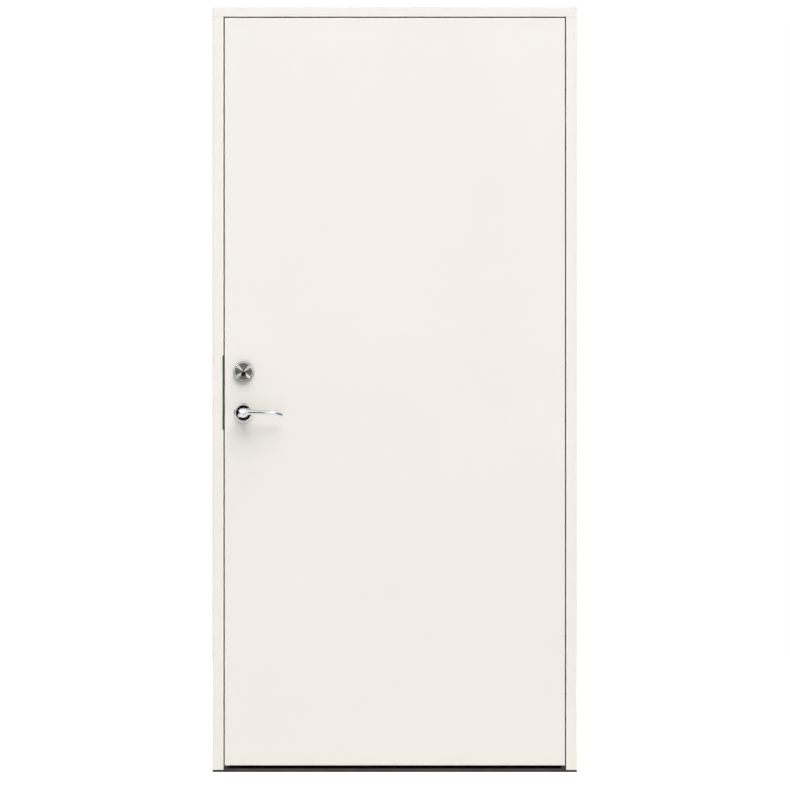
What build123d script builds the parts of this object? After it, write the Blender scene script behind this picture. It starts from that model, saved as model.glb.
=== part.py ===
"""A flush front door in a rebated timber frame, on a low dark sill.

Sizes are in millimetres. X runs to the right as the door is seen from outside, Y runs into the
building and Z runs up. The origin is the centre of the sill's underside. The leaf is hung on the
right and opens outwards, on three hidden hinges whose crescent arms turn about one line in the
gap beside the leaf.
"""

import os
from math import sqrt

from build123d import *

# Frame
frame_width = 990.0
frame_height = 2080.0
frame_depth = 105.0
jamb_face = 29.5
head_face = 26.5
stop_height = 12.0
outer_arris = 3.0
inner_arris = 1.5
joint_arris = 0.8

# Leaf and the gaps round it
side_gap = 3.0
top_gap = 3.5
leaf_thickness = 62.0
seal_space = 4.0
leaf_bottom = 18.0
skin_thickness = 3.0
leaf_arris = 1.2
edge_bevel = 3.0
lock_stile_width = 120.0
hinge_stile_width = 64.0
top_rail_height = 70.0
bottom_rail_height = 110.0

# Sill
sill_plate = 5.5
sill_front = 9.5
sill_rise = 2.5
sill_height = 25.0
upstand_depth = 11.0
upstand_arris = 1.5
sill_back = 12.0
end_pad_width = 13.0
end_pad_setback = 7.0
end_pad_clearance = 1.5

# Weather seals
seal_stem = 3.0
seal_stem_depth = 6.0
seal_width = 8.0
seal_clearance = 0.3
seal_inset = 6.0
groove_clearance = 0.2
sill_seal_stem = 1.6
sill_seal_stem_depth = 3.8
sill_seal_width = 6.5
sill_seal_end_gap = 1.0

# Hidden hinges
hinge_inset = 272.0
pivot_proud = 2.0
arm_inner_radius = 18.0
arm_thickness = 6.0
arm_height = 34.0
arm_spacing = 46.0
arm_clearance = 0.1
cup_cover = 3.0
cup_front_wall = 1.5
cup_wall = 2.5
cup_height = 140.0
cup_clearance = 0.2
plate_height = 176.0
plate_thickness = 3.0
arm_end_clearance = 0.5

# Lock
backset = 51.5
spindle_height = 976.5
lock_centres = 112.0
forend_width = 22.0
forend_height = 235.0
forend_thickness = 3.0
forend_rise = 62.0
forend_corner = 10.0
lock_case_depth = 80.0
lock_case_height = 170.0
lock_case_thickness = 16.0
lock_clearance = 0.3
latch_width = 12.0
latch_height = 34.0
latch_rise = 20.0
hook_width = 12.0
hook_height = 44.0
hook_rise = 96.0
bolt_length = 22.0
bolt_proud = 1.5
bolt_corner = 2.0
bolt_taper = 20.0

# Strike plate on the lock jamb
strike_height = 203.0
strike_rise = 55.0
strike_thickness = 2.5
strike_lip = 3.3
strike_reach = 46.0
strike_corner = 2.5
pocket_depth = 16.0
pocket_margin = 3.5

# Cylinder and thumb turn
ring_diameter = 55.5
ring_face_diameter = 50.0
ring_thickness = 12.0
ring_recess_diameter = 46.0
ring_recess_depth = 2.5
ring_rim = 4.0
ring_arris = 1.0
face_clearance = 0.3
cylinder_face_thickness = 5.0
cylinder_diameter = 33.0
cylinder_clearance = 0.5
plug_diameter = 13.3
plug_drop = 6.8
plug_clearance = 0.1
plug_length = 26.0
plug_recess = 0.6
keyway_width = 2.0
keyway_height = 8.6
turn_ring_thickness = 9.0
turn_ring_arris = 2.0
turn_shaft_diameter = 11.0
turn_width = 36.0
turn_thickness = 13.0
turn_reach = 24.0
turn_waist = 18.0
turn_waist_length = 6.0
turn_arris = 2.5

# Lever handles
rose_diameter = 52.0
rose_face_diameter = 42.0
rose_thickness = 9.0
rose_rim = 2.0
rose_crown = 14.0
neck_clearance = 0.1
neck_gap = 0.5
spindle_side = 8.0
spindle_clearance = 0.1
spindle_hole = 20.0
spindle_bore = 12.6
socket_depth = 30.0
neck_diameter = 20.0
neck_waist_radius = 90.0
neck_end = 36.0
hub_diameter = 25.5
hub_shoulder = 47.0
hub_end = 56.0
hub_crown_radius = 20.0
grip_end_arris = 1.2

# Sections of the grip: distance from the spindle, height above it, distance from the leaf,
# height of the section and its thickness
grip_sections = (
    (0.0, 1.6, 49.0, 15.5, 14.0),
    (24.0, 2.2, 49.0, 14.2, 12.5),
    (50.0, 1.8, 48.2, 12.4, 10.8),
    (74.0, 0.9, 46.4, 12.8, 9.0),
    (92.0, -1.9, 43.4, 12.6, 7.0),
    (107.0, -6.9, 38.9, 11.2, 5.4),
)

# Fixings through the jambs
sleeve_inset = 140.0
sleeve_count = 4
sleeve_diameter = 14.0
sleeve_head_diameter = 20.0
sleeve_head_thickness = 2.5
sleeve_bore = 8.2
sleeve_clearance = 0.15

# Places worked out from the sizes above
front = -frame_depth / 2
back = frame_depth / 2
frame_x = frame_width / 2
rebate_x = frame_x - jamb_face
stop_x = rebate_x - stop_height
rebate_z = frame_height - head_face
leaf_back = front + leaf_thickness
stop_y = leaf_back + seal_space
leaf_x = rebate_x - side_gap
leaf_top = rebate_z - top_gap
core_front = front + skin_thickness
core_back = leaf_back - skin_thickness
lock_stile_x = -leaf_x + lock_stile_width
hinge_stile_x = leaf_x - hinge_stile_width
leaf_middle = (front + leaf_back) / 2
sleeve_y = leaf_middle
sleeve_step = (frame_height - 2 * sleeve_inset) / (sleeve_count - 1)
sleeve_heights = [sleeve_inset + sleeve_step * i for i in range(sleeve_count)]
seal_x = rebate_x - seal_inset

pivot_x = leaf_x + side_gap / 2
pivot_y = front - pivot_proud
arm_outer_radius = arm_inner_radius + arm_thickness
cup_front_y = front + cup_cover
channel_y = cup_front_y + cup_front_wall
arm_end_y = channel_y + arm_end_clearance
cup_back_y = pivot_y + arm_outer_radius + arm_clearance + cup_wall
cup_width = cup_back_y - cup_front_y
cup_depth = arm_outer_radius + arm_clearance + cup_wall - side_gap / 2
hinge_heights = {
    "bottom": leaf_bottom + hinge_inset,
    "middle": (leaf_bottom + leaf_top) / 2,
    "top": leaf_top - hinge_inset,
}

spindle_x = -leaf_x + backset
cylinder_height = spindle_height + lock_centres
strike_z = spindle_height + strike_rise
forend_z = spindle_height + forend_rise
case_front_y = leaf_middle - lock_case_thickness / 2
case_back_y = leaf_middle + lock_case_thickness / 2

os.makedirs("parts", exist_ok=True)


def facade(depth):
    """A plane at the given depth that looks outwards, with X to the right and Y up."""
    return Plane.XZ.offset(-depth)


def lock_edge_x(depth):
    """Where the bevelled lock edge of the leaf stands at the given depth."""
    return -leaf_x + edge_bevel * (depth - front) / leaf_thickness


def save(piece, name):
    """Labels a finished piece and writes it."""
    piece.part.label = name
    export_step(piece.part, f"parts/{name}.step")


# The jambs: an L with a rebate for the leaf, a groove for the seal and pockets for the fittings
def jamb_blank(side):
    """The plain milled jamb on side -1, the lock side, or 1, the hinge side."""
    outline = [
        (side * frame_x, front),
        (side * rebate_x, front),
        (side * rebate_x, stop_y),
        (side * stop_x, stop_y),
        (side * stop_x, back),
        (side * frame_x, back),
    ]
    with BuildPart() as blank:
        with BuildSketch(Plane.XY.offset(sill_plate)) as section:
            Polygon(*outline, align=None)
            corners = section.vertices()
            fillet(corners.sort_by_distance((side * frame_x, front))[0], outer_arris)
            fillet(section.vertices().sort_by_distance((side * rebate_x, front))[0], inner_arris)
            fillet(section.vertices().sort_by_distance((side * stop_x, stop_y))[0], inner_arris)
            fillet(section.vertices().sort_by_distance((side * stop_x, back))[0], inner_arris)
            with Locations((side * seal_x, stop_y)):
                Rectangle(
                    seal_stem + 2 * groove_clearance,
                    2 * (seal_stem_depth + groove_clearance),
                    mode=Mode.SUBTRACT,
                )
        extrude(amount=rebate_z - sill_plate)
        chamfer(blank.faces().sort_by(Axis.Y)[0].edges().filter_by(Axis.X), joint_arris)
    return blank.part


def fixing_plane(side, height, x):
    """A plane that looks out of a jamb, at a fixing's height."""
    return Plane(origin=(side * x, sleeve_y, height), x_dir=(0, side, 0), z_dir=(side, 0, 0))


def cut_sleeve_holes(side):
    """Holes through the jamb for the fixing sleeves, with a seat for each head."""
    for height in sleeve_heights:
        with BuildSketch(fixing_plane(side, height, rebate_x)) as hole:
            Circle(sleeve_diameter / 2 + sleeve_clearance)
        extrude(hole.sketch, amount=jamb_face, mode=Mode.SUBTRACT)
        with BuildSketch(fixing_plane(side, height, rebate_x)) as seat:
            Circle(sleeve_head_diameter / 2 + sleeve_clearance)
        extrude(seat.sketch, amount=sleeve_head_thickness, mode=Mode.SUBTRACT)


def bolt_offsets():
    """Width, height and height above the spindle of the latch and of the hook bolt."""
    return ((latch_width, latch_height, latch_rise), (hook_width, hook_height, hook_rise))


def strike_outline():
    """The strike plate before its windows are cut, let in flush with the jamb."""
    with BuildPart() as angle:
        with BuildSketch(facade(front)) as lip:
            with Locations((-rebate_x, strike_z)):
                Rectangle(strike_lip, strike_height, align=(Align.MAX, Align.CENTER))
            fillet(lip.vertices().group_by(Axis.X)[0], strike_corner)
        extrude(amount=-strike_thickness)
        with BuildSketch(Plane.YZ.offset(-rebate_x)) as reach:
            with Locations((front, strike_z)):
                Rectangle(strike_reach, strike_height, align=(Align.MIN, Align.CENTER))
            fillet(reach.vertices().group_by(Axis.X)[-1], strike_corner)
        extrude(amount=-strike_thickness)
    return angle.part


with BuildPart() as lock_jamb:
    add(jamb_blank(-1))
    cut_sleeve_holes(-1)
    add(strike_outline(), mode=Mode.SUBTRACT)
    for width, height, rise in bolt_offsets():
        with BuildSketch(Plane.YZ.offset(-rebate_x)):
            with Locations((leaf_middle, spindle_height + rise)):
                Rectangle(width + 2 * pocket_margin, height + 2 * pocket_margin)
        extrude(amount=-(strike_thickness + pocket_depth), mode=Mode.SUBTRACT)
save(lock_jamb, "lock_jamb")


def cup_plane(side, x, height):
    """A plane at a hinge cup's mouth that looks into the piece the cup sits in."""
    cup_middle = (cup_front_y + cup_back_y) / 2
    return Plane(origin=(x, cup_middle, height), x_dir=(0, side, 0), z_dir=(side, 0, 0))


def cut_cup_pockets(side, x):
    """Pockets for the hinge cups, in the hinge jamb (side 1) or in the leaf's stile (side -1)."""
    for height in hinge_heights.values():
        for length, depth in ((cup_height, cup_depth), (plate_height, plate_thickness)):
            with BuildSketch(cup_plane(side, x, height)) as pocket:
                SlotOverall(length + 2 * cup_clearance, cup_width + 2 * cup_clearance, rotation=90)
            extrude(pocket.sketch, amount=depth, mode=Mode.SUBTRACT)


with BuildPart() as hinge_jamb:
    add(jamb_blank(1))
    cut_sleeve_holes(1)
    cut_cup_pockets(1, rebate_x)
save(hinge_jamb, "hinge_jamb")


# The head lies over both jambs, and its stop fits between theirs
with BuildPart() as frame_head:
    with BuildSketch(facade(front)):
        with Locations((0, rebate_z)):
            Rectangle(frame_width, head_face, align=(Align.CENTER, Align.MIN))
    extrude(amount=-frame_depth)
    fillet(frame_head.edges().group_by(Axis.Y)[0].filter_by(Axis.Z), outer_arris)
    chamfer(frame_head.faces().sort_by(Axis.Y)[0].edges().filter_by(Axis.X), joint_arris)
    with BuildSketch(facade(stop_y)):
        with Locations((0, rebate_z)):
            Rectangle(2 * stop_x, stop_height, align=(Align.CENTER, Align.MAX))
    extrude(amount=-(back - stop_y))
    with BuildSketch(facade(stop_y)):
        with Locations((0, rebate_z - seal_inset)):
            Rectangle(2 * stop_x, seal_stem + 2 * groove_clearance)
    extrude(amount=-(seal_stem_depth + groove_clearance), mode=Mode.SUBTRACT)
save(frame_head, "frame_head")


# The sill runs under the jambs, and stands up behind the leaf between them
upstand_back = stop_y + upstand_depth
with BuildPart() as sill:
    with BuildSketch(Plane.XY):
        with Locations((0, 0)):
            Rectangle(frame_width, frame_depth)
    extrude(amount=sill_plate)
    with BuildSketch(Plane.YZ.offset(-rebate_x)):
        Polygon(
            (front, sill_plate),
            (front, sill_front),
            (stop_y, sill_front + sill_rise),
            (stop_y, sill_height),
            (upstand_back, sill_height),
            (back, sill_back),
            (back, sill_plate),
            align=None,
        )
    extrude(amount=2 * rebate_x)
    with BuildSketch(Plane.XY.offset(sill_plate)):
        with Locations((-rebate_x, stop_y), (stop_x, stop_y)):
            Rectangle(stop_height, back - stop_y, align=(Align.MIN, Align.MIN))
    extrude(amount=sill_height, mode=Mode.SUBTRACT)
    fillet(sill.edges().filter_by(Axis.X).group_by(Axis.Z)[-1], upstand_arris)
    sill_seal_z = (leaf_bottom + sill_height) / 2
    with BuildSketch(facade(stop_y)):
        with Locations((0, sill_seal_z)):
            Rectangle(2 * stop_x, sill_seal_stem + 2 * groove_clearance)
    extrude(amount=-(sill_seal_stem_depth + groove_clearance), mode=Mode.SUBTRACT)
save(sill, "sill")


# Foam pads close the corners between sill and jambs, under the ends of the leaf
pad_front = front + end_pad_setback
for pad_name, pad_x, pad_align in (
    ("sill_pad_lock_side", -rebate_x, Align.MIN),
    ("sill_pad_hinge_side", rebate_x, Align.MAX),
):
    with BuildPart() as pad:
        with BuildSketch(Plane.XY.offset(sill_plate)):
            with Locations((pad_x, pad_front)):
                Rectangle(end_pad_width, stop_y - pad_front, align=(pad_align, Align.MIN))
        extrude(amount=leaf_bottom - end_pad_clearance - sill_plate)
        add(sill.part, mode=Mode.SUBTRACT)
    save(pad, pad_name)


# The strike plate is bent round the arris of the lock jamb
with BuildPart() as strike_plate:
    add(strike_outline())
    for width, height, rise in bolt_offsets():
        with BuildSketch(Plane.YZ.offset(-rebate_x)):
            with Locations((leaf_middle, spindle_height + rise)):
                RectangleRounded(
                    width + pocket_margin, height + pocket_margin, bolt_corner
                )
        extrude(amount=-strike_thickness, mode=Mode.SUBTRACT)
    bend = strike_plate.edges().filter_by(Axis.Z).sort_by_distance((-rebate_x, front, strike_z))[0]
    fillet(bend, inner_arris)
save(strike_plate, "strike_plate")


# Fixing sleeves, through which the frame is screwed to the wall
for sleeves_name, side in (("fixing_sleeves_lock_side", -1), ("fixing_sleeves_hinge_side", 1)):
    with BuildPart() as sleeves:
        for height in sleeve_heights:
            with BuildSketch(fixing_plane(side, height, rebate_x)):
                Circle(sleeve_head_diameter / 2)
            extrude(amount=sleeve_head_thickness)
            with BuildSketch(fixing_plane(side, height, rebate_x)):
                Circle(sleeve_diameter / 2)
            extrude(amount=jamb_face)
            with BuildSketch(fixing_plane(side, height, rebate_x)):
                Circle(sleeve_bore / 2)
            extrude(amount=jamb_face, mode=Mode.SUBTRACT)
    save(sleeves, sleeves_name)


# Weather seals: a stem in the groove and a soft bead in front of the stop
def seal_section(stem, bead, stem_depth, reach):
    """A seal's section about the point where its stem meets the stop, with the bead towards -Y."""
    with BuildSketch() as section:
        with BuildLine():
            Polyline(
                (-bead / 2, 0),
                (-stem / 2, 0),
                (-stem / 2, stem_depth),
                (stem / 2, stem_depth),
                (stem / 2, 0),
                (bead / 2, 0),
            )
            ThreePointArc((bead / 2, 0), (0, -reach), (-bead / 2, 0))
        make_face()
    return section.sketch


bead_reach = seal_space - seal_clearance
for seal_name, side in (("seal_lock_side", -1), ("seal_hinge_side", 1)):
    with BuildPart() as side_seal:
        with BuildSketch(Plane.XY.offset(sill_height)):
            with Locations((side * seal_x, stop_y)):
                add(seal_section(seal_stem, seal_width, seal_stem_depth, bead_reach))
        extrude(amount=rebate_z - sill_height)
    save(side_seal, seal_name)

with BuildPart() as seal_head:
    head_seal_start = -seal_x + seal_width / 2
    head_seal_plane = Plane(
        origin=(head_seal_start, stop_y, rebate_z - seal_inset), x_dir=(0, 0, -1), z_dir=(1, 0, 0)
    )
    with BuildSketch(head_seal_plane):
        add(seal_section(seal_stem, seal_width, seal_stem_depth, bead_reach))
    extrude(amount=-2 * head_seal_start)
    for x in (-frame_x, stop_x):
        with BuildSketch(facade(stop_y)):
            with Locations((x, rebate_z)):
                Rectangle(frame_x - stop_x, 2 * stop_height, align=(Align.MIN, Align.CENTER))
        extrude(amount=-seal_stem_depth, mode=Mode.SUBTRACT)
save(seal_head, "seal_head")

with BuildPart() as seal_sill:
    sill_seal_start = -stop_x + sill_seal_end_gap
    sill_seal_plane = Plane(
        origin=(sill_seal_start, stop_y, sill_seal_z), x_dir=(0, 0, -1), z_dir=(1, 0, 0)
    )
    with BuildSketch(sill_seal_plane):
        add(seal_section(sill_seal_stem, sill_seal_width, sill_seal_stem_depth, bead_reach))
    extrude(amount=-2 * sill_seal_start)
save(seal_sill, "seal_sill")


# The leaf: two skins over a timber frame that is filled with insulation
def cut_hole(height, diameter, depth_from, depth_to):
    """A round hole through the leaf's lock side at a height, between two depths."""
    with BuildSketch(facade(depth_from)) as hole:
        with Locations((spindle_x, height)):
            Circle(diameter / 2)
    extrude(hole.sketch, amount=-(depth_to - depth_from), mode=Mode.SUBTRACT)


def leaf_slab(depth_from, depth_to):
    """A slab over the whole leaf between two depths, with the bevelled lock edge."""
    with BuildPart() as slab:
        with BuildSketch(Plane.XY.offset(leaf_bottom)):
            Polygon(
                (lock_edge_x(depth_from), depth_from),
                (leaf_x, depth_from),
                (leaf_x, depth_to),
                (lock_edge_x(depth_to), depth_to),
                align=None,
            )
        extrude(amount=leaf_top - leaf_bottom)
    return slab.part


cylinder_hole = cylinder_diameter + 2 * cylinder_clearance
turn_hole = turn_shaft_diameter + 2 * cylinder_clearance

with BuildPart() as outer_skin:
    add(leaf_slab(front, core_front))
    fillet(outer_skin.faces().sort_by(Axis.Y)[0].edges(), leaf_arris)
    cut_hole(spindle_height, spindle_hole, front, core_front)
    cut_hole(cylinder_height, cylinder_hole, front, core_front)
save(outer_skin, "outer_skin")

with BuildPart() as inner_skin:
    add(leaf_slab(core_back, leaf_back))
    fillet(inner_skin.faces().sort_by(Axis.Y)[-1].edges(), leaf_arris)
    cut_hole(spindle_height, spindle_hole, core_back, leaf_back)
    cut_hole(cylinder_height, turn_hole, core_back, leaf_back)
save(inner_skin, "inner_skin")

edge_length = sqrt(edge_bevel**2 + leaf_thickness**2)
lock_edge_plane = Plane(
    origin=(lock_edge_x(leaf_middle), leaf_middle, 0),
    x_dir=(-edge_bevel / edge_length, -leaf_thickness / edge_length, 0),
    z_dir=(-leaf_thickness / edge_length, edge_bevel / edge_length, 0),
)
case_start = lock_edge_x(leaf_middle) + forend_thickness / 2


def lock_body(clearance):
    """The lock case with its forend, grown by a clearance on its hidden sides."""
    with BuildPart() as body:
        with BuildSketch(lock_edge_plane):
            with Locations((0, forend_z)):
                RectangleRounded(
                    forend_width + 2 * clearance, forend_height + 2 * clearance, forend_corner
                )
        extrude(amount=-forend_thickness)
        with BuildSketch(Plane.YZ.offset(case_start)):
            with Locations((leaf_middle, forend_z)):
                Rectangle(
                    lock_case_thickness + 2 * clearance, lock_case_height + 2 * clearance
                )
        extrude(amount=lock_case_depth + clearance)
    return body.part


with BuildPart() as lock_stile:
    with BuildSketch(Plane.XY.offset(leaf_bottom)):
        Polygon(
            (lock_edge_x(core_front), core_front),
            (lock_stile_x, core_front),
            (lock_stile_x, core_back),
            (lock_edge_x(core_back), core_back),
            align=None,
        )
    extrude(amount=leaf_top - leaf_bottom)
    add(lock_body(lock_clearance), mode=Mode.SUBTRACT)
    cut_hole(spindle_height, spindle_hole, core_front, core_back)
    cut_hole(cylinder_height, cylinder_hole, core_front, leaf_middle)
    cut_hole(cylinder_height, turn_hole, leaf_middle, core_back)
save(lock_stile, "lock_stile")

with BuildPart() as hinge_stile:
    with BuildSketch(Plane.XY.offset(leaf_bottom)):
        with Locations((leaf_x, core_front)):
            Rectangle(hinge_stile_width, core_back - core_front, align=(Align.MAX, Align.MIN))
    extrude(amount=leaf_top - leaf_bottom)
    cut_cup_pockets(-1, leaf_x)
save(hinge_stile, "hinge_stile")


def between_stiles(low, high, name):
    """A block that fills the space between stiles and skins, between two heights."""
    with BuildPart() as block:
        with BuildSketch(facade(core_front)):
            with Locations((lock_stile_x, low)):
                Rectangle(hinge_stile_x - lock_stile_x, high - low, align=Align.MIN)
        extrude(amount=-(core_back - core_front))
    save(block, name)


between_stiles(leaf_top - top_rail_height, leaf_top, "top_rail")
between_stiles(leaf_bottom, leaf_bottom + bottom_rail_height, "bottom_rail")
between_stiles(leaf_bottom + bottom_rail_height, leaf_top - top_rail_height, "leaf_core")


# The lock case carries its forend, with a window for each bolt
with BuildPart() as lock_case:
    add(lock_body(0.0))
    for width, height, rise in bolt_offsets():
        with BuildSketch(lock_edge_plane):
            with Locations((0, spindle_height + rise)):
                Rectangle(width + 2 * lock_clearance, height + 2 * lock_clearance)
        extrude(amount=-bolt_length, mode=Mode.SUBTRACT)
    with BuildSketch(facade(case_front_y)):
        with Locations((spindle_x, spindle_height)):
            Circle(spindle_bore / 2)
    extrude(amount=-lock_case_thickness, mode=Mode.SUBTRACT)
save(lock_case, "lock_case")

for bolt_name, (width, height, rise) in zip(("latch_bolt", "hook_bolt"), bolt_offsets()):
    with BuildPart() as bolt:
        with BuildSketch(lock_edge_plane):
            with Locations((0, spindle_height + rise)):
                Rectangle(width, height)
        extrude(amount=-bolt_length)
        with BuildSketch(lock_edge_plane):
            with Locations((0, spindle_height + rise)):
                Rectangle(width, height)
        extrude(amount=bolt_proud, taper=bolt_taper)
    save(bolt, bolt_name)


# Hidden hinges: a cup in the jamb, a cup in the leaf, and two crescent arms that slide in both
def crescent(inner, outer, start_y):
    """The part of a ring about the hinge's line that lies behind a plane."""
    with BuildSketch() as ring:
        with Locations((pivot_x, pivot_y)):
            Circle(outer)
            Circle(inner, mode=Mode.SUBTRACT)
        with Locations((pivot_x, start_y)):
            Rectangle(
                2 * outer, 2 * outer, align=(Align.CENTER, Align.MAX), mode=Mode.SUBTRACT
            )
    return ring.sketch


def arm_bottoms(height):
    """Where the two arms of a hinge begin, for a hinge at the given height."""
    return (height - arm_spacing / 2 - arm_height / 2, height + arm_spacing / 2 - arm_height / 2)


for hinge_name, height in hinge_heights.items():
    for owner, side, x in (("frame", 1, rebate_x), ("leaf", -1, leaf_x)):
        with BuildPart() as cup:
            for length, depth in ((cup_height, cup_depth), (plate_height, plate_thickness)):
                with BuildSketch(cup_plane(side, x, height)):
                    SlotOverall(length, cup_width, rotation=90)
                extrude(amount=depth)
            for bottom in arm_bottoms(height):
                with BuildSketch(Plane.XY.offset(bottom - arm_clearance)):
                    add(
                        crescent(
                            arm_inner_radius - arm_clearance,
                            arm_outer_radius + arm_clearance,
                            channel_y,
                        )
                    )
                extrude(amount=arm_height + 2 * arm_clearance, mode=Mode.SUBTRACT)
        save(cup, f"hinge_cup_{owner}_{hinge_name}")
    with BuildPart() as arms:
        for bottom in arm_bottoms(height):
            with BuildSketch(Plane.XY.offset(bottom)):
                add(crescent(arm_inner_radius, arm_outer_radius, arm_end_y))
            extrude(amount=arm_height)
    save(arms, f"hinge_arms_{hinge_name}")


# Round fittings are turned about an axis that looks out of the door's face
def turned_plane(height):
    """The section plane of a turned fitting: X is its radius and Y its distance out of the face."""
    return Plane(origin=(spindle_x, front, height), x_dir=(1, 0, 0), z_dir=(0, 0, 1))


disc_back = ring_thickness - ring_recess_depth - cylinder_face_thickness
with BuildPart() as cylinder_ring:
    with BuildSketch(turned_plane(cylinder_height)):
        Polygon(
            (cylinder_hole / 2, 0),
            (ring_diameter / 2, 0),
            (ring_diameter / 2, -ring_rim),
            (ring_face_diameter / 2, -ring_thickness),
            (ring_recess_diameter / 2, -ring_thickness),
            (ring_recess_diameter / 2, -disc_back),
            (cylinder_hole / 2, -disc_back),
            align=None,
        )
    revolve(axis=Axis((spindle_x, front, cylinder_height), (0, 1, 0)))
    rim = cylinder_ring.faces().sort_by(Axis.Y)[0].outer_wire().edges()
    fillet(rim, ring_arris)
save(cylinder_ring, "cylinder_ring")

cylinder_face_y = front - ring_thickness + ring_recess_depth
plug_z = cylinder_height - plug_drop
with BuildPart() as cylinder:
    with BuildSketch(facade(cylinder_face_y)):
        with Locations((spindle_x, cylinder_height)):
            Circle(ring_recess_diameter / 2 - face_clearance)
    extrude(amount=-cylinder_face_thickness)
    with BuildSketch(facade(cylinder_face_y)):
        with Locations((spindle_x, cylinder_height)):
            Circle(cylinder_diameter / 2)
    extrude(amount=-(case_front_y - lock_clearance - cylinder_face_y))
    with BuildSketch(facade(cylinder_face_y)):
        with Locations((spindle_x, plug_z)):
            Circle(plug_diameter / 2 + plug_clearance)
    extrude(amount=-(plug_recess + plug_length), mode=Mode.SUBTRACT)
save(cylinder, "cylinder")

with BuildPart() as cylinder_plug:
    with BuildSketch(facade(cylinder_face_y + plug_recess)):
        with Locations((spindle_x, plug_z)):
            Circle(plug_diameter / 2)
            SlotOverall(keyway_height, keyway_width, rotation=90, mode=Mode.SUBTRACT)
    extrude(amount=-(plug_length - plug_clearance))
save(cylinder_plug, "cylinder_plug")


# Inside, a ring of the same size carries a thumb turn
with BuildPart() as turn_ring:
    with BuildSketch(facade(leaf_back)):
        with Locations((spindle_x, cylinder_height)):
            Circle(ring_diameter / 2)
            Circle(turn_hole / 2, mode=Mode.SUBTRACT)
    extrude(amount=-turn_ring_thickness)
    fillet(turn_ring.faces().sort_by(Axis.Y)[-1].outer_wire().edges(), turn_ring_arris)
save(turn_ring, "turn_ring")

turn_base_y = leaf_back + turn_ring_thickness
with BuildPart() as thumb_turn:
    with BuildSketch(facade(case_back_y + lock_clearance)):
        with Locations((spindle_x, cylinder_height)):
            Circle(turn_shaft_diameter / 2)
    extrude(amount=-(turn_base_y - case_back_y))
    with BuildSketch(facade(turn_base_y)):
        with Locations((spindle_x, cylinder_height)):
            Circle(turn_waist / 2)
    extrude(amount=-turn_waist_length)
    with BuildSketch(facade(turn_base_y + turn_waist_length)):
        with Locations((spindle_x, cylinder_height)):
            SlotOverall(turn_width, turn_thickness)
    extrude(amount=-(turn_reach - turn_waist_length))
    fillet(thumb_turn.faces().sort_by(Axis.Y)[-1].edges(), turn_arris)
save(thumb_turn, "thumb_turn")


# Roses, one each side of the leaf
leaf_mid_plane = facade(leaf_middle)
with BuildPart() as outer_rose:
    with BuildSketch(turned_plane(spindle_height)):
        with BuildLine():
            neck_bore = neck_diameter / 2 + neck_clearance
            Polyline(
                (rose_face_diameter / 2, -rose_thickness),
                (neck_bore, -rose_thickness),
                (neck_bore, 0),
                (rose_diameter / 2, 0),
                (rose_diameter / 2, -rose_rim),
            )
            RadiusArc(
                (rose_diameter / 2, -rose_rim),
                (rose_face_diameter / 2, -rose_thickness),
                -rose_crown,
            )
        make_face()
    revolve(axis=Axis((spindle_x, front, spindle_height), (0, 1, 0)))
save(outer_rose, "outer_rose")

with BuildPart() as inner_rose:
    mirror(outer_rose.part, about=leaf_mid_plane)
save(inner_rose, "inner_rose")


# Levers: a turned neck with a crowned hub, and a slim grip that droops and turns back at its tip
def grip_section_plane(index):
    """The plane of one section of the grip, square to the line through its neighbours."""
    here = grip_sections[index]
    before = grip_sections[max(index - 1, 0)]
    after = grip_sections[min(index + 1, len(grip_sections) - 1)]
    run = Vector(after[0] - before[0], before[2] - after[2], after[1] - before[1]).normalized()
    return Plane(
        origin=(spindle_x + here[0], front - here[2], spindle_height + here[1]),
        x_dir=Vector(0, 1, 0).cross(run) * -1,
        z_dir=run,
    )


hub_radius = hub_diameter / 2
hub_height = hub_end + hub_crown_radius - sqrt(hub_crown_radius**2 - hub_radius**2)
with BuildPart() as outer_lever:
    for index, section in enumerate(grip_sections):
        with BuildSketch(grip_section_plane(index)):
            Ellipse(section[3] / 2, section[4] / 2)
    loft()
    fillet(outer_lever.faces().sort_by(Axis.X)[-1].edges(), grip_end_arris)
    with BuildSketch(turned_plane(spindle_height)):
        with BuildLine():
            Polyline(
                (0, -hub_height),
                (0, -neck_gap),
                (neck_diameter / 2, -neck_gap),
                (neck_diameter / 2, -rose_thickness),
            )
            RadiusArc(
                (neck_diameter / 2, -rose_thickness),
                (neck_diameter / 2, -neck_end),
                -neck_waist_radius,
            )
            Spline(
                (neck_diameter / 2, -neck_end),
                (hub_radius, -hub_shoulder),
                tangents=((0.3, -1), (0, -1)),
            )
            Line((hub_radius, -hub_shoulder), (hub_radius, -hub_end))
            RadiusArc((hub_radius, -hub_end), (0, -hub_height), hub_crown_radius)
        make_face()
    revolve(axis=Axis((spindle_x, front, spindle_height), (0, 1, 0)))
    with BuildSketch(facade(front - neck_gap)):
        with Locations((spindle_x, spindle_height)):
            Rectangle(spindle_side + 2 * spindle_clearance, spindle_side + 2 * spindle_clearance)
    extrude(amount=socket_depth, mode=Mode.SUBTRACT)
save(outer_lever, "outer_lever")

with BuildPart() as inner_lever:
    mirror(outer_lever.part, about=leaf_mid_plane)
save(inner_lever, "inner_lever")

spindle_length = leaf_thickness + 2 * (neck_gap + socket_depth)
with BuildPart() as spindle:
    with BuildSketch(facade(leaf_middle - spindle_length / 2)):
        with Locations((spindle_x, spindle_height)):
            Rectangle(spindle_side, spindle_side)
    extrude(amount=-spindle_length)
save(spindle, "spindle")
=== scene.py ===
import math

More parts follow.
